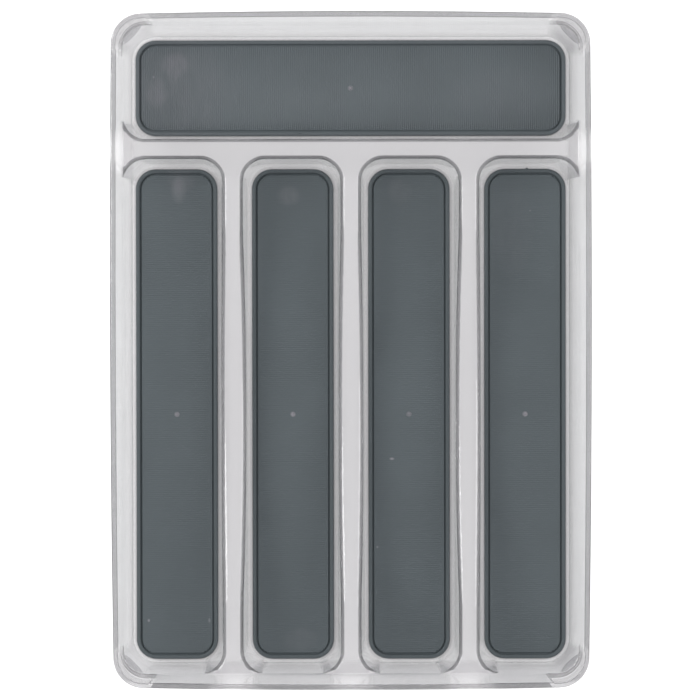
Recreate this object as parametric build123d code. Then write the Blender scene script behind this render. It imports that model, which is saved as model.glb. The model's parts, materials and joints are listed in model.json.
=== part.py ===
# Cutlery tray: a clear moulded shell with one cross pocket and four long pockets,
# a soft liner on each pocket floor and four soft feet under it.
# Millimetres. +X right, +Y towards the cross pocket, +Z up. The origin is under the middle
# of the tray, on the surface that the feet stand on.
from build123d import *
import os

# Whole tray, from the soles of the feet to the rim, before the rim's edges are rounded
tray_width = 232.0
tray_length = 327.0
tray_height = 47.5
foot_drop = 1.0            # how far the feet hold the shell off the table

# Shell
rim_thickness = 2.8
side_lean = 2.2            # outward lean of the side walls from the deck up to the rim
front_lean = 3.2           # the same for the front wall; the back wall is straight all the way up
side_bow = 1.2             # how far the middle of a side stands out beyond its ends
side_taper = 0.3           # its front end stands this much further in, its back end less far in
end_bow = 1.5
floor_wall = 1.6           # outer walls, at the floor
deck_wall = 2.4            # and at the deck
bend_drop = 2.6            # the walls bend this much lower on their outside than at the deck
divider_wall = 1.4
channel_skin = 1.1         # left of the outer walls where a channel under a divider ends
deck_thickness = 2.0
floor_thickness = 2.2
rim_rise = 16.5            # from the tops of the dividers up to the rim
rim_corner_radius = 14.6
underside_radius = 2.0
rim_outer_rounding = 0.8
rim_inner_rounding = 0.5

# Pockets
long_pocket_count = 4
divider_width = 9.6        # between two long pockets, at the deck before its edges are rounded
cross_divider_width = 9.4  # between the cross pocket and the long ones, measured the same way
cross_pocket_depth = 55.4  # front to back, at the deck
pocket_corner_radius = 11.0
side_run = 3.4             # how much nearer to the middle the side walls stand at the floor
front_run = 3.0
back_run = 3.9
divider_run = 2.8          # slope of the sides of the long dividers
long_back_run = 2.9        # slope of the back wall of the long pockets
cross_front_run = 2.2      # slope of the front wall of the cross pocket
floor_rounding = 1.1
deck_rounding = 2.6
cove_radius = 1.5          # hollow rounding where the deck meets the outer walls
cove_setback = 0.5

# Dip in the tops of the long dividers, where fingers reach in
dip_depth = 11.0
dip_front_margin = 35.6    # level top left in front of the dip
dip_back_margin = 35.9
dip_bend_radius = 30.0

# Stacking shoulders in the four corners of the wall above the deck
shoulder_width = 20.7      # across the corner's diagonal
shoulder_reach = 20.0      # from the outline's corner point towards the middle
shoulder_inset = 0.2       # its outer face stands this far inside the rim line
shoulder_wall = 2.1
shoulder_rise = 1.0        # its ledge lies this far above the deck
shoulder_rounding = 0.5

# Liners
floor_gap = 1.0            # bare floor left round a liner
liner_thickness = 1.4      # of the flat field inside the bead
bead_width = 2.2
bead_height = 0.8          # above the field
bead_rounding = 0.6
gate_diameter = 2.6
gate_depth = 0.3
gate_nub_diameter = 1.1
gate_nub_height = 0.5

# Feet
foot_diameter = 12.0
foot_recess = 0.8
foot_clearance = 0.1
foot_rounding = 0.5
foot_setback = 24.65       # from the end walls' floor line to the centre of a foot

# Construction
overrun = 4.0              # how far a cut runs past what it cuts
seam = 0.12                # skin of the outer walls in front of the pockets' own side faces
block_margin = 0.4         # how far the divider block stays inside the outer walls at the deck
touch = 0.01               # two heights or places closer than this are the same
upright_share = 0.5        # a face is a wall if its normal rises less than this

floor_top = foot_drop + floor_thickness
deck_height = tray_height - rim_rise
rim_half_width = tray_width / 2
rim_half_length = tray_length / 2
rim_outline = (-rim_half_width, rim_half_width, -rim_half_length, rim_half_length)
deck_half_width = rim_half_width - rim_thickness - side_lean
deck_front = front_lean + rim_thickness - rim_half_length
deck_back = rim_half_length - rim_thickness - back_run * rim_rise / (deck_height - floor_top)
floor_half_width = deck_half_width - side_run
divider_foot = divider_width + 2 * divider_run
divider_feet = (long_pocket_count - 1) * divider_foot
long_floor_width = (2 * floor_half_width - divider_feet) / long_pocket_count
pocket_pitch = long_floor_width + divider_foot
outer_pocket_place = (long_pocket_count - 1) / 2 * pocket_pitch
cross_front = deck_back - cross_pocket_depth
long_back = cross_front - cross_divider_width
ledge_height = deck_height + shoulder_rise


# A rectangle is (west, east, south, north). A hollow is a pair of them, at the floor and at the
# deck; its walls run straight from one to the other.
def tub_hollow():
    deck = (-deck_half_width, deck_half_width, deck_front, deck_back)
    floor = (-floor_half_width, floor_half_width, deck_front + front_run, deck_back - back_run)
    return floor, deck


def cross_hollow():
    floor, deck = tub_hollow()
    west, east, south, north = floor
    return (west, east, cross_front + cross_front_run, north), (*deck[:2], cross_front, deck[3])


def long_hollow(index):
    centre = index * pocket_pitch - outer_pocket_place
    west = centre - long_floor_width / 2
    east = centre + long_floor_width / 2
    west_run = side_run if index == 0 else divider_run
    east_run = side_run if index == long_pocket_count - 1 else divider_run
    floor = (west, east, deck_front + front_run, long_back - long_back_run)
    return floor, (west - west_run, east + east_run, deck_front, long_back)


def grown(rectangle, amount):
    west, east, south, north = rectangle
    return west - amount, east + amount, south - amount, north + amount


def between(low, high, share):
    return tuple(start + (end - start) * share for start, end in zip(low, high))


def rectangle_at(z, hollow, grow=0.0):
    share = (z - floor_top) / (deck_height - floor_top)
    return grown(between(*hollow, share), grow)


def outer_hollow(skin=0.0):
    """The outside of the outer walls, or with a skin a face that lies so far inside it."""
    floor, deck = tub_hollow()
    return grown(floor, floor_wall - skin), grown(deck, deck_wall - skin)


def is_leaning(edge):
    return abs((edge @ 1 - edge @ 0).Z) > touch


def hollow_block(hollow, z_low, z_high, grow=0.0):
    """The space of a hollow, or with grow the space that its walls take up."""
    low = rectangle_at(z_low, hollow, grow)
    high = rectangle_at(z_high, hollow, grow)
    block = Solid.make_wedge(
        low[1] - low[0],
        z_high - z_low,
        low[3] - low[2],
        high[0] - low[0],
        low[3] - high[3],
        high[1] - low[0],
        low[3] - high[2],
        Plane(origin=(low[0], low[3], z_low), x_dir=(1, 0, 0), z_dir=(0, -1, 0)),
    )
    return block.fillet(pocket_corner_radius + grow, block.edges().filter_by(is_leaning))


def rounded_section(rectangle, radius, z):
    west, east, south, north = rectangle
    centre = Pos((west + east) / 2, (south + north) / 2, z)
    return centre * RectangleRounded(east - west, north - south, radius)


def bowed_corners(rectangle):
    """Where the bowed sides meet that touch the rectangle from inside with their middles."""
    west, east, south, north = rectangle
    front_inset = side_bow + side_taper
    back_inset = side_bow - side_taper
    return [
        (west + front_inset, south + end_bow),
        (east - front_inset, south + end_bow),
        (east - back_inset, north - end_bow),
        (west + back_inset, north - end_bow),
    ]


def bowed_section(rectangle, radius, z):
    west, east, south, north = rectangle
    starts = bowed_corners(rectangle)
    middles = [(0, south), (east, 0), (0, north), (west, 0)]
    ends = starts[1:] + starts[:1]
    sides = [ThreePointArc(*points) for points in zip(starts, middles, ends)]
    face = make_face(Curve() + sides)
    return Pos(0, 0, z) * fillet(face.vertices(), radius)


def outer_form():
    """The outside of the shell, solid right through."""
    bend = deck_height - bend_drop
    form = loft(
        [
            rounded_section(
                rectangle_at(foot_drop, outer_hollow()), pocket_corner_radius + floor_wall, foot_drop
            ),
            rounded_section(
                rectangle_at(bend, outer_hollow()), pocket_corner_radius + deck_wall, bend
            ),
            bowed_section(rim_outline, rim_corner_radius, tray_height),
        ],
        ruled=True,
    )
    return fillet(form.edges().group_by(Axis.Z)[0], underside_radius)


def tub_form():
    """The inside of the outer walls, from under the floor to above the rim."""
    low = foot_drop - overrun
    high = tray_height + overrun
    rise_share = (high - deck_height) / (tray_height - deck_height)
    deck = tub_hollow()[1]
    top = between(deck, grown(rim_outline, -rim_thickness), rise_share)
    return loft(
        [
            rounded_section(rectangle_at(low, tub_hollow(), -seam), pocket_corner_radius, low),
            rounded_section(grown(deck, -seam), pocket_corner_radius, deck_height),
            bowed_section(top, rim_corner_radius - rim_thickness, high),
        ],
        ruled=True,
    )


def above_dip(lowered=0.0):
    """The air over the dipping tops of the long dividers, between the outermost pockets."""
    z = deck_height - lowered
    front = deck_front + dip_front_margin
    back = long_back - dip_back_margin
    lowest_place = (front + back) / 2
    top = tray_height + overrun
    face = make_face(
        Curve()
        + [
            Polyline((front - dip_bend_radius, top), (front - dip_bend_radius, z), (front, z)),
            ThreePointArc((front, z), (lowest_place, z - dip_depth), (back, z)),
            Polyline((back, z), (back + dip_bend_radius, z), (back + dip_bend_radius, top)),
            Line((back + dip_bend_radius, top), (front - dip_bend_radius, top)),
        ]
    )
    bends = [
        point for point in face.vertices()
        if abs(point.Y - z) < touch and min(abs(point.X - front), abs(point.X - back)) < touch
    ]
    return extrude(Plane.YZ * fillet(bends, dip_bend_radius), outer_pocket_place, both=True)


def divider_block():
    """Floor and dividers in one block, with its edges inside the outer walls."""
    high = deck_height + 2 * cove_radius
    block = hollow_block(tub_hollow(), foot_drop - overrun, high, deck_wall - block_margin)
    above = hollow_block(tub_hollow(), deck_height, high + overrun, cove_setback)
    block -= above.fillet(cove_radius, above.edges().group_by(Axis.Z)[0])
    block -= above_dip()
    pocket_sides = []
    for hollow in hollows:
        pocket = hollow_block(hollow, floor_top, high + overrun)
        pocket_sides += [face for face in pocket.faces() if abs(face.normal_at().Z) < upright_share]
        block -= pocket.fillet(floor_rounding, pocket.edges().group_by(Axis.Z)[0])
    return block, pocket_sides


def air_inside():
    """All the open space inside the outer walls, with rounded divider tops."""
    block, pocket_sides = divider_block()
    lowest = deck_height - dip_depth - touch

    def is_deck_edge(edge):
        middle = edge @ 0.5
        return middle.Z > lowest and any(side.distance_to(middle) < touch for side in pocket_sides)

    return tub_form() - block.fillet(deck_rounding, block.edges().filter_by(is_deck_edge))


def space_under_dividers():
    """The channels under the dividers, open to the table."""
    low = foot_drop - overrun
    space = hollow_block(outer_hollow(channel_skin), low, deck_height - deck_thickness)
    space -= above_dip(deck_thickness)
    for hollow in hollows:
        space -= hollow_block(hollow, low - overrun, deck_height + overrun, divider_wall)
    return space


def corner_prisms(inset, width, z_low, z_high):
    """The corners of an upright block of this inset, cut out by bars along the diagonals."""
    section = bowed_section(grown(rim_outline, -inset), rim_corner_radius - inset, z_low)
    prism = extrude(section, z_high - z_low)
    bar = Box(
        2 * shoulder_reach, width, z_high - z_low, align=(Align.CENTER, Align.CENTER, Align.MIN)
    )
    return [
        prism & Pos(x, y, z_low) * Rot(0, 0, 45 if x * y > 0 else -45) * bar
        for x, y in bowed_corners(rim_outline)
    ]


def ledge_edges(body):
    """The inner edges of the four ledges, where they drop into the pockets below."""
    walls = tub_form().faces()

    def is_ledge_edge(edge):
        middle = edge @ 0.5
        level = abs(middle.Z - ledge_height) < touch
        return level and min(side.distance_to(middle) for side in walls) < touch

    return body.edges().filter_by(is_ledge_edge)


def foot_places():
    """The middle of each foot, under the outermost pockets."""
    south, north = tub_hollow()[0][2:]
    return [
        (x, y)
        for y in (south + foot_setback, north - foot_setback)
        for x in (-outer_pocket_place, outer_pocket_place)
    ]


def tray_body():
    body = outer_form()
    outer_width = shoulder_width + 2 * shoulder_wall
    ledge_underside = ledge_height - deck_thickness
    for shoulder in corner_prisms(shoulder_inset, outer_width, ledge_underside, tray_height):
        body += shoulder
    body -= air_inside()
    inset = shoulder_inset + shoulder_wall
    for recess in corner_prisms(inset, shoulder_width, ledge_height, tray_height + overrun):
        body -= recess
    body -= space_under_dividers()
    body = body.fillet(shoulder_rounding, ledge_edges(body))
    for x, y in foot_places():
        body -= Pos(x, y, foot_drop + foot_recess) * Cylinder(
            foot_diameter / 2 + foot_clearance,
            foot_recess + overrun,
            align=(Align.CENTER, Align.CENTER, Align.MAX),
        )
    rim = body.faces().filter_by(Axis.Z).sort_by(Axis.Z)[-1]
    body = body.fillet(rim_outer_rounding, rim.outer_wire().edges())
    rim = body.faces().filter_by(Axis.Z).sort_by(Axis.Z)[-1]
    return body.fillet(rim_inner_rounding, rim.inner_wires()[0].edges())


def liner(hollow):
    """A soft pad with a raised bead round its field and the mark of its gate in the middle."""
    west, east, south, north = hollow[0]
    outline = grown(hollow[0], -floor_gap)
    field = grown(outline, -bead_width)
    radius = pocket_corner_radius - floor_gap
    pad = extrude(rounded_section(outline, radius, floor_top), liner_thickness + bead_height)
    pad = pad.fillet(bead_rounding, pad.edges().group_by(Axis.Z)[-1])
    field_height = floor_top + liner_thickness
    pad -= extrude(rounded_section(field, radius - bead_width, field_height), bead_height)
    middle = Pos((west + east) / 2, (south + north) / 2, field_height - gate_depth)
    dimple = middle * Cylinder(
        gate_diameter / 2, gate_depth, align=(Align.CENTER, Align.CENTER, Align.MIN)
    )
    nub = middle * Cylinder(
        gate_nub_diameter / 2, gate_nub_height, align=(Align.CENTER, Align.CENTER, Align.MIN)
    )
    return pad - dimple + nub


def foot(x, y):
    pad = Pos(x, y, 0) * Cylinder(
        foot_diameter / 2, foot_drop + foot_recess, align=(Align.CENTER, Align.CENTER, Align.MIN)
    )
    return pad.fillet(foot_rounding, pad.edges().group_by(Axis.Z)[0])


hollows = [long_hollow(index) for index in range(long_pocket_count)] + [cross_hollow()]
nodes = {"tray_body": tray_body(), "liner_cross": liner(cross_hollow())}
for number in range(long_pocket_count):
    nodes[f"liner_long_{number + 1}"] = liner(long_hollow(number))
for number, (x, y) in enumerate(foot_places()):
    nodes[f"foot_{number + 1}"] = foot(x, y)

os.makedirs("parts", exist_ok=True)
for name, shape in nodes.items():
    export_step(shape, f"parts/{name}.step")
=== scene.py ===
# A clear moulded cutlery tray with a ribbed soft liner in each pocket and four soft feet.
# Metres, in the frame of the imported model: +X right, +Y towards the cross pocket, +Z up.
import json
import math

import bmesh
import bpy
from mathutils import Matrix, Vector

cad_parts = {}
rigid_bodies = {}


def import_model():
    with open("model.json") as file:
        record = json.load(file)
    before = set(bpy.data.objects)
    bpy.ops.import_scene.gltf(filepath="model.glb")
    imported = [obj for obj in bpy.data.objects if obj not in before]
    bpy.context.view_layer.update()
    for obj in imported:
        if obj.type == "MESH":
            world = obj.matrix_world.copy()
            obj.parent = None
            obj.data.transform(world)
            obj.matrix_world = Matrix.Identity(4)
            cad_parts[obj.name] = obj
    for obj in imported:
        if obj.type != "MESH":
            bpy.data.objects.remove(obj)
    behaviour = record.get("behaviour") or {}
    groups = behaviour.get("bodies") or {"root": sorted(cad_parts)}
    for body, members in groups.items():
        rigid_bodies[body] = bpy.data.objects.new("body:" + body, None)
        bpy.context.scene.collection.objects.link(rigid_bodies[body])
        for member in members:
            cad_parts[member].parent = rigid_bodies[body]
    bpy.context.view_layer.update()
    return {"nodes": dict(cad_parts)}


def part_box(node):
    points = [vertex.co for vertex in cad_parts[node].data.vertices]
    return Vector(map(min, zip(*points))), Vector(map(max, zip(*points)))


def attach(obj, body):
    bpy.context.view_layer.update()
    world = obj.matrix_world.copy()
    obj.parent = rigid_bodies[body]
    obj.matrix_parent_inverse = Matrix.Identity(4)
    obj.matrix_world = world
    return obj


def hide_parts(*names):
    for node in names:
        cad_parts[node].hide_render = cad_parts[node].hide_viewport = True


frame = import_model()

bl_info = {
    "name": "Cutlery tray",
    "version": (1, 0, 0),
    "blender": (4, 5, 0),
    "location": "3D View > Sidebar > Tray",
    "description": "Dresses a clear cutlery tray with its ribbed liners, feet and studio",
    "category": "Add Mesh",
}

MM = 0.001
SHELL_NODE = "tray_body"
CROSS_LINER = "liner_cross"
FEET = [f"foot_{number}" for number in (1, 2, 3, 4)]

# Where each liner is rubbed pale or has a pale fleck: x, y, reach along x, reach along y, strength
WEAR_MARKS = {
    CROSS_LINER: [
        (-0.0850, 0.1290, 0.0340, 0.0300, 0.14),
        (-0.0868, 0.1414, 0.0085, 0.0075, 0.30),
        (-0.0880, 0.1380, 0.0035, 0.0080, 0.20),
        (-0.0960, 0.1275, 0.0065, 0.0090, 0.26),
        (-0.0977, 0.1354, 0.0008, 0.0008, 1.00),
        (0.0750, 0.1270, 0.0300, 0.0180, 0.06),
    ],
    "liner_long_1": [
        (-0.0853, 0.0794, 0.0045, 0.0085, 0.34),
        (-0.0840, 0.0850, 0.0090, 0.0080, 0.12),
        (-0.0705, -0.1344, 0.0008, 0.0014, 1.00),
        (-0.1007, -0.1344, 0.0008, 0.0010, 1.00),
    ],
    "liner_long_2": [
        (-0.0308, 0.0764, 0.0070, 0.0060, 0.20),
        (-0.0250, -0.1440, 0.0100, 0.0070, 0.12),
    ],
    "liner_long_3": [
        (0.0240, 0.0790, 0.0070, 0.0080, 0.12),
        (0.0203, -0.0541, 0.0015, 0.0008, 1.00),
        (0.0130, -0.0980, 0.0007, 0.0007, 1.00),
    ],
    "liner_long_4": [
        (0.0800, 0.0600, 0.0120, 0.0300, 0.07),
        (0.0890, 0.0690, 0.0006, 0.0006, 0.50),
    ],
}

# The mark in a liner's middle, where the mould was filled, carries a painted highlight as a pale spot:
# how far the spot reaches and how pale it is
GATE_REACH = 1.6 * MM
GATE_PAINTED_HIGHLIGHT = {
    CROSS_LINER: 1.2,
    "liner_long_1": 1.5,
    "liner_long_2": 1.0,
    "liner_long_3": 0.8,
    "liner_long_4": 1.5,
}

# Its section, as shares of the gate's radius and height, from the outside in: a rim, a dip and a tip
GATE_SECTION = (
    (1.0, -1.0),
    (1.0, 0.6),
    (0.94, 1.0),
    (0.72, 1.0),
    (0.6, 0.0),
    (0.44, 0.0),
    (0.4, 1.6),
    (0.24, 2.2),
    (0.0, 2.4),
)

# Little nubs of flash on the beads: x, y, radius
NUBS = {CROSS_LINER: (-0.0253, 0.1074, 0.0006), "liner_long_4": (0.0873, 0.0896, 0.0007)}

# The section of a nub, as shares of its radius and of the bead's rounding
NUB_SECTION = ((1.0, -1.0), (1.0, 0.6), (0.6, 1.0), (0.0, 1.0))

# Zones of the shell, which place its painted shade and the share of the view that passes straight on.
# Each is an eased step, from where it starts to where it is complete.
POCKET_EDGES = (17.0 * MM, 19.0 * MM)
CROSS_END_SIDE = (108.6 * MM, 109.2 * MM)
CROSS_END_FRONT = (90.0 * MM, 92.5 * MM)
CROSS_END_BACK = (104.5 * MM, 107.0 * MM)
LONG_END_FRONT = (-156.2 * MM, -155.6 * MM)
LONG_END_SIDE = (66.0 * MM, 72.0 * MM)
CORNER_SIDE = (96.0 * MM, 102.0 * MM)
CORNER_END = (144.0 * MM, 150.0 * MM)
LEDGE_BOTTOM = (31.4 * MM, 31.7 * MM)
LEDGE_TOP = (32.3 * MM, 32.6 * MM)
RIM_TOP = (47.1 * MM, 47.4 * MM)
FRONT_RIM = (-160.0 * MM, -158.0 * MM)
FRONT_WALL = (-157.0 * MM, -155.0 * MM)
RIGHT_WALL = (95.0 * MM, 105.0 * MM)
LOW_IN_WALL = (12.0 * MM, 34.0 * MM)
WALL_FOOT = (5.0 * MM, 7.0 * MM)

# Eased steps in how level a face lies, from 0 for an upright one to 1 for a level one
STEEP = (0.14, 0.34)
ROUNDED = (0.2, 0.4)
LEVEL = (0.9, 0.955)

# Eased steps in the noise of the finishes
SMUDGES = (0.56, 0.72)
CLOUDS = (0.3, 0.7)
SPECKS = (0.5, 0.9)
STREAKS = (0.25, 0.75)

# The share of the short waves among the waves in the clear walls
SHORT_WAVE_SHARE = 0.2

# The soft plastic's mottling and grain, and how far its pale marks break up into streaks
CLOUD_SPREAD = 0.05
SPECK_SHARE = 0.16
SPECK_PALENESS = 1.5
SOFT_ROUGHNESS = 0.52
SPECK_ROUGHNESS = 0.12
GRAIN_HEIGHT = 0.03 * MM
GRAIN_STRENGTH = 0.5
BEAD_EDGE = 0.2 * MM
STREAK_SHARE = 0.6

# Corners of a rib's round section, and the turn in degrees from which an edge stays sharp
RIB_SIDES = 12
SHARP_TURN = 40.0

WHITE = (1.0, 1.0, 1.0)
LEFT_LAMP_PLACE = (-1.3, 0.4, 1.5)
RIGHT_LAMP_PLACE = (1.3, 0.2, 1.5)
SENSOR_WIDTH = 36.0

# The sockets of a Mix node that mixes colours
MIX_FACTOR, MIX_FIRST, MIX_SECOND, MIX_RESULT = 0, 6, 7, 2


def length(name, description, default):
    return bpy.props.FloatProperty(
        name=name, description=description, default=default, min=0.0, unit="LENGTH", precision=5
    )


def share(name, description, default):
    return bpy.props.FloatProperty(
        name=name, description=description, default=default, min=0.0, max=1.0, subtype="FACTOR"
    )


def colour(name, description, default):
    return bpy.props.FloatVectorProperty(
        name=name,
        description=description,
        default=default,
        size=3,
        min=0.0,
        max=1.0,
        subtype="COLOR",
    )


def angle(name, description, degrees):
    return bpy.props.FloatProperty(
        name=name,
        description=description,
        default=math.radians(degrees),
        unit="ROTATION",
        precision=5,
    )


class ShellFinish(bpy.types.PropertyGroup):
    tint: colour("Tint", "Colour of light that has passed through the plastic", (0.93, 0.917, 0.93))
    lamp_tint: colour("Lamp tint", "How a level face tints a lamp's light", (0.68, 0.675, 0.68))
    wall_lamp_tint: colour("Wall lamp tint", "The same for a steep wall", (0.93, 0.93, 0.93))
    ior: bpy.props.FloatProperty(
        name="IOR", description="Refractive index of the clear plastic", default=1.54, min=1.0, max=2.0
    )
    roughness: share("Roughness", "Roughness of the polished faces", 0.03)
    clearness: share("Clearness", "Share of the light that the skin does not scatter", 0.92)
    straight: share("Straight", "Share of the view that passes a level face without bending", 0.1)
    wall_straight: share("Straight in walls", "The same in a steep wall", 0.5)
    # Painted shade: a dark colour mixed into the plastic's colour, with its strengths round the
    # pockets, on level faces, on the rim's top, on the corner ledges and low in the right wall
    painted_shade_colour: colour("Edge tint", "The tint where an edge gathers the light", (0.10, 0.098, 0.108))
    edge_shade: share("Edge shade", "Strength of that tint round the pockets", 0.95)
    level_shade: share("Level shade", "Strength of that tint in level faces", 0.25)
    top_shade: share("Top shade", "Strength of that tint on top of the rim", 0.7)
    front_top_shade: share("Front top shade", "The same on the rim of the open end", 0.3)
    ledge_shade: share("Ledge shade", "Strength of that tint on the ledges in the corners", 0.2)
    corner_share: share("Corner share", "Share of the edge shade that the corner shoulders keep", 0.5)
    right_shade: share("Right shade", "Strength of that tint low in the right wall", 0.45)
    foot_straight: share("Straight at the foot", "The same where a wall meets the floor", 0.42)
    ripple: length("Ripple", "Height of the slow waves that moulding leaves in the walls", 0.02 * MM)
    ripple_strength: share("Ripple strength", "How strongly those waves bend the light", 0.35)
    smudge_roughness: share("Smudge roughness", "Roughness that a smudge adds", 0.05)
    smudge_share: share("Smudge share", "Share of the smudged tint in a smudge", 0.25)
    smudge_dark: share("Smudge tint", "The smudged tint, as a share of the tint", 0.97)


class LinerMould(bpy.types.PropertyGroup):
    corner_radius: length("Corner radius", "Outer corners of a liner", 10.0 * MM)
    field_height: length("Field height", "Thickness of the flat field inside the bead", 1.4 * MM)
    bead_width: length("Bead width", "Raised bead round the edge", 2.0 * MM)
    bead_rounding: length("Bead rounding", "Rounding of the bead's edges", 0.6 * MM)
    # Painted shade on the bead: its colour as a share of the field's
    bead_painted_shade: share("Bead shade", "Colour of the polished bead, as a share of the field's", 0.86)
    foot_chamfer: length("Foot chamfer", "Chamfer round a liner's underside", 0.15 * MM)
    groove_width: length("Groove width", "Sunk line between the bead and the ribs", 0.85 * MM)
    groove_depth: length("Groove depth", "Depth of that line below the field", 0.9 * MM)
    groove_lean: length("Groove lean", "Slant of that line's outer side", 0.04 * MM)
    groove_floor: share("Groove floor", "Share of that line's width up to its inner side", 0.8)
    rib_pitch: length("Rib pitch", "Distance from one fine rib to the next", 0.96 * MM)
    rib_width: length("Rib width", "Width of a rib at its foot", 0.6 * MM)
    rib_height: length("Rib height", "Height of a rib above the field", 0.13 * MM)
    long_rib_width: length("Long rib width", "Width of a rib in the long pockets", 0.94 * MM)
    long_rib_height: length("Long rib height", "Height of a rib in the long pockets", 0.03 * MM)
    gate_radius: length("Gate radius", "Smooth disc where the mould was filled", 1.5 * MM)
    gate_height: length("Gate height", "Height of that disc above the field", 0.17 * MM)
    colour: colour("Colour", "Body colour of the soft plastic", (0.102, 0.121, 0.131))
    long_colour: colour("Long colour", "Body colour in the long pockets", (0.088, 0.107, 0.116))
    # Pale colour of the rubbed marks and flecks, and of the painted highlight on each gate mark
    wear_and_highlight: colour("Haze", "Pale bloom where the soft plastic was rubbed", (0.27, 0.26, 0.285))


class FootRubber(bpy.types.PropertyGroup):
    colour: colour("Colour", "Colour of the soft feet", (0.105, 0.122, 0.13))


class Studio(bpy.types.PropertyGroup):
    camera_height: length("Camera height", "Height of the camera above the floor", 1.3475)
    camera_back: length("Camera back", "How far the camera stands towards the cross pocket", 0.017)
    camera_tilt: angle("Camera tilt", "Turn of the view towards the open end", 0.7272)
    camera_pan: angle("Camera pan", "Turn of the view to the left", 0.019)
    camera_roll: angle("Camera roll", "Clockwise turn of the camera, seen from above", 0.08)
    focal_length: bpy.props.FloatProperty(
        name="Focal length", description="Lens, in millimetres on a 36 mm sensor", default=139.1
    )
    floor_size: length("Floor size", "Side of the square floor", 8.0)
    floor_colour: colour("Floor", "Colour of the floor", (0.90, 0.90, 0.90))
    floor_glow: share("Floor glow", "Light added where the floor is seen through the plastic", 0.2)
    backdrop_glow: share("Backdrop glow", "Light added where the floor is looked at", 0.35)
    room: colour("Room", "Light of the room round the table", (0.62, 0.62, 0.63))
    lamp_size: length("Lamp size", "Side of a square softbox", 0.8)
    left_lamp: bpy.props.FloatProperty(
        name="Left lamp", description="Power of the left lamp, in watts", default=17.0
    )
    right_lamp: bpy.props.FloatProperty(
        name="Right lamp", description="Power of the right lamp, in watts", default=7.5
    )


# ---------------------------------------------------------------- shader helpers


class Wire:
    """A socket in a node tree, so that the sums on it read as Python expressions."""

    def __init__(self, sheet, socket):
        self.sheet = sheet
        self.socket = socket

    def __add__(self, other):
        return self.sheet.math("ADD", self, other)

    def __sub__(self, other):
        return self.sheet.math("SUBTRACT", self, other)

    def __rsub__(self, other):
        return self.sheet.math("SUBTRACT", other, self)

    def __mul__(self, other):
        return self.sheet.math("MULTIPLY", self, other)

    def __truediv__(self, other):
        return self.sheet.math("DIVIDE", self, other)

    __radd__ = __add__
    __rmul__ = __mul__

    def above(self, step):
        """0 before the step, 1 past it, and eased between its two ends."""
        start, end = step
        return self.sheet.node(
            "ShaderNodeMapRange",
            {"interpolation_type": "SMOOTHSTEP"},
            {"Value": self, "From Min": start, "From Max": end},
        )

    def below(self, step):
        """1 before the step, 0 past it, and eased between its two ends."""
        return 1.0 - self.above(step)


class Sheet:
    """A material's node tree."""

    def __init__(self, name):
        self.material = bpy.data.materials.new(name)
        self.material.use_nodes = True
        self.tree = self.material.node_tree
        self.tree.nodes.clear()
        self.output = self.tree.nodes.new("ShaderNodeOutputMaterial")

    def plug(self, socket, value):
        if isinstance(value, Wire):
            self.tree.links.new(value.socket, socket)
        else:
            socket.default_value = value

    def node(self, kind, settings=None, values=None, output=0):
        """A node with its settings made first and its sockets filled next."""
        node = self.tree.nodes.new(kind)
        for key, value in (settings or {}).items():
            setattr(node, key, value)
        for key, value in (values or {}).items():
            self.plug(node.inputs[key], value)
        return Wire(self, node.outputs[output])

    def math(self, operation, *values):
        return self.node("ShaderNodeMath", {"operation": operation}, dict(enumerate(values)))

    def place(self):
        return self.node("ShaderNodeTexCoord", output="Object")

    def parts(self, vector):
        """The X, Y and Z of a vector."""
        split = self.node("ShaderNodeSeparateXYZ", None, {"Vector": vector}).socket.node
        return [Wire(self, socket) for socket in split.outputs]

    def noise(self, scale, detail=2.0, stretch=(1.0, 1.0, 1.0)):
        """Cloudy noise between 0 and 1, with scale in bumps per metre."""
        place = self.node("ShaderNodeMapping", None, {"Vector": self.place(), "Scale": stretch})
        return self.node(
            "ShaderNodeTexNoise", None, {"Vector": place, "Scale": scale, "Detail": detail}, "Fac"
        )

    def mix(self, factor, first, second):
        """A colour between two colours."""
        values = {MIX_FACTOR: factor, MIX_FIRST: first, MIX_SECOND: second}
        return self.node("ShaderNodeMix", {"data_type": "RGBA"}, values, MIX_RESULT)

    def bump(self, height, distance, strength):
        return self.node(
            "ShaderNodeBump", None, {"Strength": strength, "Distance": distance, "Height": height}
        )

    def light_path(self, name):
        return self.node("ShaderNodeLightPath", output=name)

    def principled(self, **values):
        """The main shader, with the spaces in its sockets' names written as underscores."""
        sockets = {key.replace("_", " "): value for key, value in values.items()}
        return self.node("ShaderNodeBsdfPrincipled", None, sockets)

    def unbent(self, rgb):
        """A shader that lets light pass straight on, in this colour."""
        return self.node("ShaderNodeBsdfTransparent", None, {"Color": opaque(rgb)})

    def blend(self, factor, first, second):
        """A shader between two shaders."""
        return self.node("ShaderNodeMixShader", None, {0: factor, 1: first, 2: second})

    def finish(self, shader):
        self.tree.links.new(shader.socket, self.output.inputs["Surface"])
        return self.material


def opaque(rgb, brightness=1.0):
    """An opaque colour, made brighter or darker."""
    return (*(part * brightness for part in rgb), 1.0)


# ---------------------------------------------------------------- materials


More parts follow.
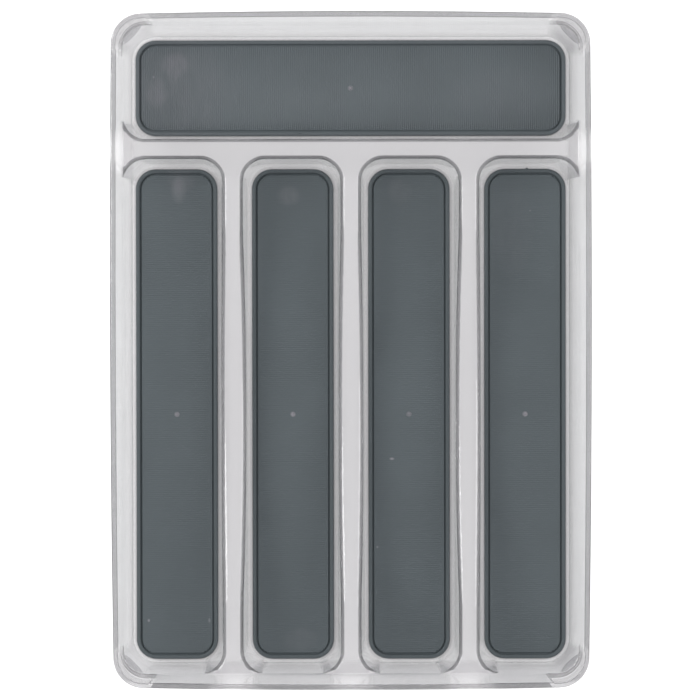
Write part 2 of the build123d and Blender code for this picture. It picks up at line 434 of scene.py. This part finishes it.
def clear_plastic(finish):
    """Clear plastic, with painted shade in its colour on the rounded edges, the level faces, the rim's
    top, the corner ledges and low in the right wall.
    """
    sheet = Sheet("clear_moulded_plastic")
    x, y, z = sheet.parts(sheet.place())
    side = sheet.math("ABSOLUTE", x)
    rise = sheet.parts(sheet.node("ShaderNodeNewGeometry", output="Normal"))[2]
    rise = sheet.math("ABSOLUTE", rise)
    steep = rise.below(STEEP)
    level = rise.above(LEVEL)

    # Painted shade on the rounded edges round the pockets, less the coves where the dividers end, and
    # less of it on the corner shoulders
    cross_end = side.above(CROSS_END_SIDE) * y.above(CROSS_END_FRONT) * y.below(CROSS_END_BACK)
    long_end = y.below(LONG_END_FRONT) * side.below(LONG_END_SIDE)
    edge = rise.above(ROUNDED) * rise.below(LEVEL) * z.above(POCKET_EDGES)
    edge = edge * (1.0 - cross_end) * (1.0 - long_end)
    corner = side.above(CORNER_SIDE) * sheet.math("ABSOLUTE", y).above(CORNER_END)
    edge = edge * (1.0 - corner * (1.0 - finish.corner_share))

    # Painted shade on the level faces, with its own strength on the rim's top and on the ledges in the
    # corners
    top_shade = y.below(FRONT_RIM) * (finish.front_top_shade - finish.top_shade) + finish.top_shade
    painted_level_shade = z.above(RIM_TOP) * (top_shade - finish.level_shade) + finish.level_shade
    ledge = z.above(LEDGE_BOTTOM) * z.below(LEDGE_TOP)
    painted_level_shade = painted_level_shade + ledge * (finish.ledge_shade - finish.level_shade)

    # Painted shade low in the right wall
    right_wall = steep * x.above(RIGHT_WALL) * z.below(LOW_IN_WALL)
    shade = edge * finish.edge_shade + level * painted_level_shade + right_wall * finish.right_shade

    smudge = sheet.noise(scale=45.0, detail=4.0).above(SMUDGES)
    tint = sheet.mix(
        smudge * finish.smudge_share,
        opaque(finish.tint),
        opaque(finish.tint, finish.smudge_dark),
    )
    slow_waves = sheet.noise(scale=14.0, detail=1.0, stretch=(1.0, 0.4, 1.0))
    short_waves = sheet.noise(scale=60.0, detail=1.0, stretch=(1.0, 0.2, 1.0))
    waves = slow_waves * (1.0 - SHORT_WAVE_SHARE) + short_waves * SHORT_WAVE_SHARE
    # The base colour is the tint, darkened towards the painted shade colour where the painted shade is
    # strong
    glass = sheet.principled(
        Base_Color=sheet.mix(shade, tint, opaque(finish.painted_shade_colour)),
        Roughness=smudge * finish.smudge_roughness + finish.roughness,
        IOR=finish.ior,
        Transmission_Weight=finish.clearness,
        Normal=sheet.bump(waves, finish.ripple, finish.ripple_strength),
    )

    # The share of the view that passes straight on: more in steep walls and at their foot
    bending = sheet.math("MAXIMUM", corner, y.below(FRONT_WALL))
    straight = steep * (1.0 - bending) * (finish.wall_straight - finish.straight) + finish.straight
    foot = z.below(WALL_FOOT) * (1.0 - level)
    straight = sheet.math("MAXIMUM", straight, foot * finish.foot_straight)
    body = sheet.blend(straight, glass, sheet.unbent(WHITE))

    # Lamp light and light from matt surfaces pass without bending, more of it through steep walls
    lamps_pass = sheet.blend(
        steep, sheet.unbent(finish.lamp_tint), sheet.unbent(finish.wall_lamp_tint)
    )
    lamp_ray = sheet.math(
        "MAXIMUM", sheet.light_path("Is Shadow Ray"), sheet.light_path("Is Diffuse Ray")
    )
    return sheet.finish(sheet.blend(lamp_ray, body, lamps_pass))


def soft_plastic(name, rgb, wear_and_highlight=WHITE, marks=(), bead=None):
    """Matt soft plastic, mottled.

    Marks are pale spots, each (x, y, reach along x, reach along y, strength), in the pale colour:
    rubbed spots, flecks and the painted highlight on the gate mark.
    A bead is (height from which painted shade darkens it, the share of the colour that it keeps).
    """
    sheet = Sheet(name)
    x, y, z = sheet.parts(sheet.place())
    cloud = sheet.noise(scale=22.0, detail=3.0)
    speck = sheet.noise(scale=900.0)
    base = sheet.mix(
        cloud.above(CLOUDS), opaque(rgb, 1.0 - CLOUD_SPREAD), opaque(rgb, 1.0 + CLOUD_SPREAD)
    )
    base = sheet.mix(speck.above(SPECKS) * SPECK_SHARE, base, opaque(rgb, SPECK_PALENESS))
    # Painted shade on the bead, from its height up
    if bead:
        height, shade = bead
        base = sheet.mix(z.above((height, height + BEAD_EDGE)), base, opaque(rgb, shade))
    streaks = sheet.noise(scale=260.0, detail=3.0, stretch=(1.0, 0.35, 1.0)).above(STREAKS)
    streaks = streaks * STREAK_SHARE + (1.0 - STREAK_SHARE)
    # Pale marks: real rubbing and flecks, and the painted highlight on the gate mark
    for place_x, place_y, reach_x, reach_y, strength in marks:
        across, along = (x - place_x) / reach_x, (y - place_y) / reach_y
        near = (across * across + along * along).below((0.0, 1.0))
        base = sheet.mix(near * streaks * strength, base, opaque(wear_and_highlight))
    return sheet.finish(
        sheet.principled(
            Base_Color=base,
            Roughness=speck * SPECK_ROUGHNESS + SOFT_ROUGHNESS,
            Normal=sheet.bump(speck, GRAIN_HEIGHT, GRAIN_STRENGTH),
        )
    )


# ---------------------------------------------------------------- meshes


def rounded_outline(half_x, half_y, radius, steps=10):
    """Anticlockwise points of a rounded rectangle round the origin."""
    points = []
    for turn, (x, y) in enumerate(((1, 1), (-1, 1), (-1, -1), (1, -1))):
        for step in range(steps + 1):
            bearing = math.pi / 2 * (turn + step / steps)
            points.append(
                (
                    x * (half_x - radius) + radius * math.cos(bearing),
                    y * (half_y - radius) + radius * math.sin(bearing),
                )
            )
    return points


def quarter(centre_inset, centre_height, radius, start, end, steps=5):
    """Steps of an arc in a wall's section, as (inset, height) pairs; angles in degrees."""
    points = []
    for step in range(steps + 1):
        turn = math.radians(start + (end - start) * step / steps)
        inset = centre_inset + radius * math.cos(turn)
        points.append((inset, centre_height + radius * math.sin(turn)))
    return points


def join_rings(mesh, rings):
    """Closes the wall between each ring of corners and the next."""
    for low, high in zip(rings, rings[1:]):
        for index in range(len(low)):
            after = (index + 1) % len(low)
            mesh.faces.new((low[index], low[after], high[after], high[index]))


def add_rings(mesh, half_x, half_y, radius, profile, centre):
    """Sweeps a section of (inset, height) pairs round a rounded rectangle and closes both ends."""
    rings = []
    for inset, height in profile:
        outline = rounded_outline(half_x - inset, half_y - inset, radius - inset)
        rings.append([mesh.verts.new(centre + Vector((x, y, height))) for x, y in outline])
    join_rings(mesh, rings)
    mesh.faces.new(list(reversed(rings[0])))
    mesh.faces.new(rings[-1])


def add_turned(mesh, radius, height, section, centre, steps=28):
    """Turns a section, in shares of the radius and height, round an upright axis where it ends."""
    rings = []
    for out, up in section[:-1]:
        ring = []
        for step in range(steps):
            turn = math.tau * step / steps
            place = (radius * out * math.cos(turn), radius * out * math.sin(turn), height * up)
            ring.append(mesh.verts.new(centre + Vector(place)))
        rings.append(ring)
    join_rings(mesh, rings)
    tip = mesh.verts.new(centre + Vector((0.0, 0.0, height * section[-1][1])))
    last = rings[-1]
    for index in range(steps):
        mesh.faces.new((last[index], last[(index + 1) % steps], tip))
    mesh.faces.new(list(reversed(rings[0])))


def smooth_by_angle(mesh):
    """Smooth faces, with sharp edges where two faces turn by more than the angle for that."""
    for face in mesh.faces:
        face.smooth = True
    limit = math.radians(SHARP_TURN)
    for edge in mesh.edges:
        edge.smooth = len(edge.link_faces) == 2 and edge.calc_face_angle(0.0) < limit


def new_object(name, mesh):
    """An object at the origin, with the mesh in it."""
    data = bpy.data.meshes.new(name)
    mesh.to_mesh(data)
    mesh.free()
    piece = bpy.data.objects.new(name, data)
    bpy.context.collection.objects.link(piece)
    return piece


class Plan:
    """A Geometry Nodes tree, with the same way of making nodes as a material's."""

    def __init__(self, name):
        self.tree = bpy.data.node_groups.new(name, "GeometryNodeTree")
        self.ids = {}
        self.inlet = self.tree.nodes.new("NodeGroupInput")
        self.outlet = self.tree.nodes.new("NodeGroupOutput")
        self.tree.interface.new_socket("Geometry", in_out="INPUT", socket_type="NodeSocketGeometry")
        self.tree.interface.new_socket("Geometry", in_out="OUTPUT", socket_type="NodeSocketGeometry")

    def input(self, name, kind="NodeSocketFloat"):
        item = self.tree.interface.new_socket(name, in_out="INPUT", socket_type=kind)
        self.ids[name] = item.identifier
        return Wire(self, self.inlet.outputs[name])

    plug = Sheet.plug
    node = Sheet.node
    math = Sheet.math

    def vector(self, x=0.0, y=0.0, z=0.0):
        return self.node("ShaderNodeCombineXYZ", None, {"X": x, "Y": y, "Z": z})

    def start(self):
        return Wire(self, self.inlet.outputs["Geometry"])

    def finish(self, geometry):
        self.tree.links.new(geometry.socket, self.outlet.inputs["Geometry"])


def rib_plan():
    """Rows of low rounded ribs that fill a rounded rectangle, laid on the mesh that comes in."""
    plan = Plan("fine_ribs")
    half_length = plan.input("Half length")
    half_width = plan.input("Half width")
    radius = plan.input("Corner radius")
    pitch = plan.input("Pitch")
    width = plan.input("Rib width")
    height = plan.input("Rib height")
    centre = plan.input("Centre", "NodeSocketVector")
    turn = plan.input("Turn", "NodeSocketVector")
    material = plan.input("Material", "NodeSocketMaterial")

    # As many ribs as the length takes, in a row along Y
    reach = half_length - pitch / 2
    count = plan.math("FLOOR", reach * 2 / pitch) + 1
    row = plan.node(
        "GeometryNodeMeshLine",
        {"mode": "OFFSET"},
        {
            "Count": count,
            "Start Location": plan.vector(y=(count - 1) * pitch / -2),
            "Offset": plan.vector(y=pitch),
        },
    )

    # Ribs near the ends are shorter, by what the rounded corners take off
    place = plan.node("ShaderNodeSeparateXYZ", None, {0: plan.node("GeometryNodeInputPosition")}, "Y")
    past = plan.math("MAXIMUM", plan.math("ABSOLUTE", place) - half_length + radius, 0.0)
    drop = radius - plan.math("SQRT", radius * radius - past * past)

    arc = plan.node(
        "GeometryNodeCurvePrimitiveCircle",
        {"mode": "RADIUS"},
        {"Resolution": RIB_SIDES, "Radius": 1.0},
    )
    section = plan.node(
        "GeometryNodeTransform", None, {"Geometry": arc, "Scale": plan.vector(width / 2, height, 1.0)}
    )
    spine = plan.node(
        "GeometryNodeCurvePrimitiveLine",
        {"mode": "POINTS"},
        {"Start": (-1.0, 0.0, 0.0), "End": (1.0, 0.0, 0.0)},
    )
    rib = plan.node(
        "GeometryNodeCurveToMesh", None, {"Curve": spine, "Profile Curve": section, "Fill Caps": True}
    )
    ribs = plan.node(
        "GeometryNodeInstanceOnPoints",
        None,
        {"Points": row, "Instance": rib, "Scale": plan.vector(half_width - drop, 1.0, 1.0)},
    )
    ribs = plan.node("GeometryNodeRealizeInstances", None, {"Geometry": ribs})
    ribs = plan.node(
        "GeometryNodeTransform", None, {"Geometry": ribs, "Translation": centre, "Rotation": turn}
    )
    ribs = plan.node("GeometryNodeSetShadeSmooth", None, {"Geometry": ribs, "Shade Smooth": True})
    join = plan.tree.nodes.new("GeometryNodeJoinGeometry")
    for part in (plan.start(), ribs):
        plan.tree.links.new(part.socket, join.inputs["Geometry"])
    joined = Wire(plan, join.outputs[0])
    plan.finish(
        plan.node("GeometryNodeSetMaterial", None, {"Geometry": joined, "Material": material})
    )
    return plan


def grown_by(piece, plan, values):
    """The piece with a Geometry Nodes tree applied to it as a plain mesh."""
    modifier = piece.modifiers.new(plan.tree.name, "NODES")
    modifier.node_group = plan.tree
    for name, value in values.items():
        modifier[plan.ids[name]] = value
    bpy.context.view_layer.update()
    shown = piece.evaluated_get(bpy.context.evaluated_depsgraph_get())
    made = bpy.data.meshes.new_from_object(shown)
    piece.modifiers.clear()
    piece.data = made
    return piece


def liner(node, across, mould, plan, material, nub):
    """One liner: a pad with a rounded bead, a groove, ribs across its field and its gate mark."""
    low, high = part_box(node)
    centre = Vector(((low.x + high.x) / 2, (low.y + high.y) / 2, low.z))
    half_x, half_y = (high.x - low.x) / 2, (high.y - low.y) / 2
    top = high.z - low.z
    field = mould.field_height
    soft = mould.bead_rounding
    width = mould.bead_width
    groove = mould.groove_width
    chamfer = mould.foot_chamfer
    sunk = field - mould.groove_depth
    profile = [(chamfer, 0.0), (0.0, chamfer)]
    profile += quarter(soft, top - soft, soft, 180, 90)
    profile += quarter(width - soft, top - soft, soft, 90, 0)
    profile += [(width + mould.groove_lean, sunk), (width + groove * mould.groove_floor, sunk)]
    profile += [(width + groove, field)]
    mesh = bmesh.new()
    add_rings(mesh, half_x, half_y, mould.corner_radius, profile, centre)
    on_field = centre + Vector((0.0, 0.0, field))
    add_turned(mesh, mould.gate_radius, mould.gate_height, GATE_SECTION, on_field)
    if nub:
        place_x, place_y, size = nub
        on_bead = Vector((place_x, place_y, centre.z + top - soft))
        add_turned(mesh, size, soft, NUB_SECTION, on_bead)
    smooth_by_angle(mesh)
    piece = new_object(f"{node}_ribbed", mesh)
    inset = width + groove
    ribbed_x, ribbed_y = half_x - inset, half_y - inset
    piece = grown_by(
        piece,
        plan,
        {
            "Half length": ribbed_x if across else ribbed_y,
            "Half width": ribbed_y if across else ribbed_x,
            "Corner radius": mould.corner_radius - inset,
            "Pitch": mould.rib_pitch,
            "Rib width": mould.rib_width if across else mould.long_rib_width,
            "Rib height": mould.rib_height if across else mould.long_rib_height,
            "Centre": on_field,
            "Turn": (0.0, 0.0, math.pi / 2 if across else 0.0),
            "Material": material,
        },
    )
    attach(piece, "root")
    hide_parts(node)


# ---------------------------------------------------------------- operators


class TRAY_OT_shell(bpy.types.Operator):
    """Give the moulded shell its clear plastic"""

    bl_idname = "tray.shell"
    bl_label = "Finish the clear shell"

    def execute(self, context):
        material = clear_plastic(context.scene.tray_shell)
        for slot in frame["nodes"][SHELL_NODE].material_slots:
            slot.material = material
        return {"FINISHED"}


class TRAY_OT_liners(bpy.types.Operator):
    """Make the ribbed soft liner of each pocket"""

    bl_idname = "tray.liners"
    bl_label = "Make the liners"

    def execute(self, context):
        mould = context.scene.tray_liners
        plan = rib_plan()
        for node, marks in WEAR_MARKS.items():
            low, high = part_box(node)
            middle = ((low.x + high.x) / 2, (low.y + high.y) / 2)
            crossing = node == CROSS_LINER
            material = soft_plastic(
                f"soft_{node}",
                mould.colour if crossing else mould.long_colour,
                mould.wear_and_highlight,
                # The gate mark gets a painted highlight, a pale spot in the liner's middle
                [*marks, (*middle, GATE_REACH, GATE_REACH, GATE_PAINTED_HIGHLIGHT[node])],
                (high.z - mould.bead_rounding, mould.bead_painted_shade),
            )
            liner(node, crossing, mould, plan, material, NUBS.get(node))
        return {"FINISHED"}


class TRAY_OT_feet(bpy.types.Operator):
    """Give the four feet their soft rubber"""

    bl_idname = "tray.feet"
    bl_label = "Finish the feet"

    def execute(self, context):
        material = soft_plastic("foot_rubber_soft", context.scene.tray_feet.colour)
        for node in FEET:
            for slot in frame["nodes"][node].material_slots:
                slot.material = material
        return {"FINISHED"}


def add_softbox(name, place, side, power):
    """A square softbox that points at the tray."""
    data = bpy.data.lights.new(name, "AREA")
    data.shape = "RECTANGLE"
    data.size = data.size_y = side
    data.energy = power
    lamp = bpy.data.objects.new(name, data)
    lamp.location = place
    lamp.rotation_euler = (-Vector(place)).to_track_quat("-Z", "Y").to_euler()
    bpy.context.collection.objects.link(lamp)


def studio_floor(studio):
    """The white floor, which glows a little where it is looked at, also through the plastic."""
    mesh = bmesh.new()
    bmesh.ops.create_grid(mesh, x_segments=8, y_segments=8, size=studio.floor_size / 2)
    floor = new_object("studio_floor", mesh)
    sheet = Sheet("studio_floor_white")
    through = sheet.math(
        "MAXIMUM", sheet.light_path("Is Glossy Ray"), sheet.light_path("Is Transmission Ray")
    )
    strength = sheet.math(
        "MAXIMUM",
        through * studio.floor_glow,
        sheet.light_path("Is Camera Ray") * studio.backdrop_glow,
    )
    paint = sheet.node("ShaderNodeBsdfDiffuse", None, {"Color": opaque(studio.floor_colour)})
    glow = sheet.node("ShaderNodeEmission", None, {"Color": opaque(WHITE), "Strength": strength})
    both = sheet.node("ShaderNodeAddShader", None, {0: paint, 1: glow})
    floor.data.materials.append(sheet.finish(both))
    return floor


def studio_camera(studio):
    data = bpy.data.cameras.new("studio_camera")
    data.lens = studio.focal_length
    data.sensor_width = SENSOR_WIDTH
    data.clip_start, data.clip_end = 0.05, 50.0
    camera = bpy.data.objects.new("studio_camera", data)
    camera.location = (0.0, studio.camera_back, studio.camera_height)
    camera.rotation_euler = (-studio.camera_tilt, studio.camera_pan, -studio.camera_roll)
    bpy.context.collection.objects.link(camera)
    return camera


class TRAY_OT_studio(bpy.types.Operator):
    """Set up the floor, the lamps, the room's light and the camera"""

    bl_idname = "tray.studio"
    bl_label = "Set up the studio"

    def execute(self, context):
        studio = context.scene.tray_studio
        scene = context.scene
        floor = studio_floor(studio)

        world = bpy.data.worlds.new("studio_room")
        world.use_nodes = True
        world.node_tree.nodes["Background"].inputs["Color"].default_value = opaque(studio.room)
        scene.world = world

        add_softbox("left_softbox", LEFT_LAMP_PLACE, studio.lamp_size, studio.left_lamp)
        add_softbox("right_softbox", RIGHT_LAMP_PLACE, studio.lamp_size, studio.right_lamp)
        scene.camera = studio_camera(studio)
        scene.view_settings.view_transform = "Standard"
        return {"FINISHED"}


class TRAY_PT_panel(bpy.types.Panel):
    """The steps of the tray, in the order that they run"""

    bl_idname = "TRAY_PT_panel"
    bl_label = "Cutlery tray"
    bl_space_type = "VIEW_3D"
    bl_region_type = "UI"
    bl_category = "Tray"

    def draw(self, context):
        for name, group, operator in STEPS:
            box = self.layout.box()
            box.operator(operator)
            settings = getattr(context.scene, name)
            for key in settings.__annotations__:
                box.prop(settings, key)


STEPS = [
    ("tray_shell", ShellFinish, TRAY_OT_shell.bl_idname),
    ("tray_liners", LinerMould, TRAY_OT_liners.bl_idname),
    ("tray_feet", FootRubber, TRAY_OT_feet.bl_idname),
    ("tray_studio", Studio, TRAY_OT_studio.bl_idname),
]
CLASSES = [group for name, group, operator in STEPS] + [
    TRAY_OT_shell,
    TRAY_OT_liners,
    TRAY_OT_feet,
    TRAY_OT_studio,
    TRAY_PT_panel,
]


def register():
    for kind in CLASSES:
        bpy.utils.register_class(kind)
    for name, group, operator in STEPS:
        setattr(bpy.types.Scene, name, bpy.props.PointerProperty(type=group))


def unregister():
    for name, group, operator in STEPS:
        delattr(bpy.types.Scene, name)
    for kind in reversed(CLASSES):
        bpy.utils.unregister_class(kind)


def main():
    register()
    bpy.ops.tray.shell()
    bpy.ops.tray.liners()
    bpy.ops.tray.feet()
    bpy.ops.tray.studio()


if __name__ == "__main__":
    main()
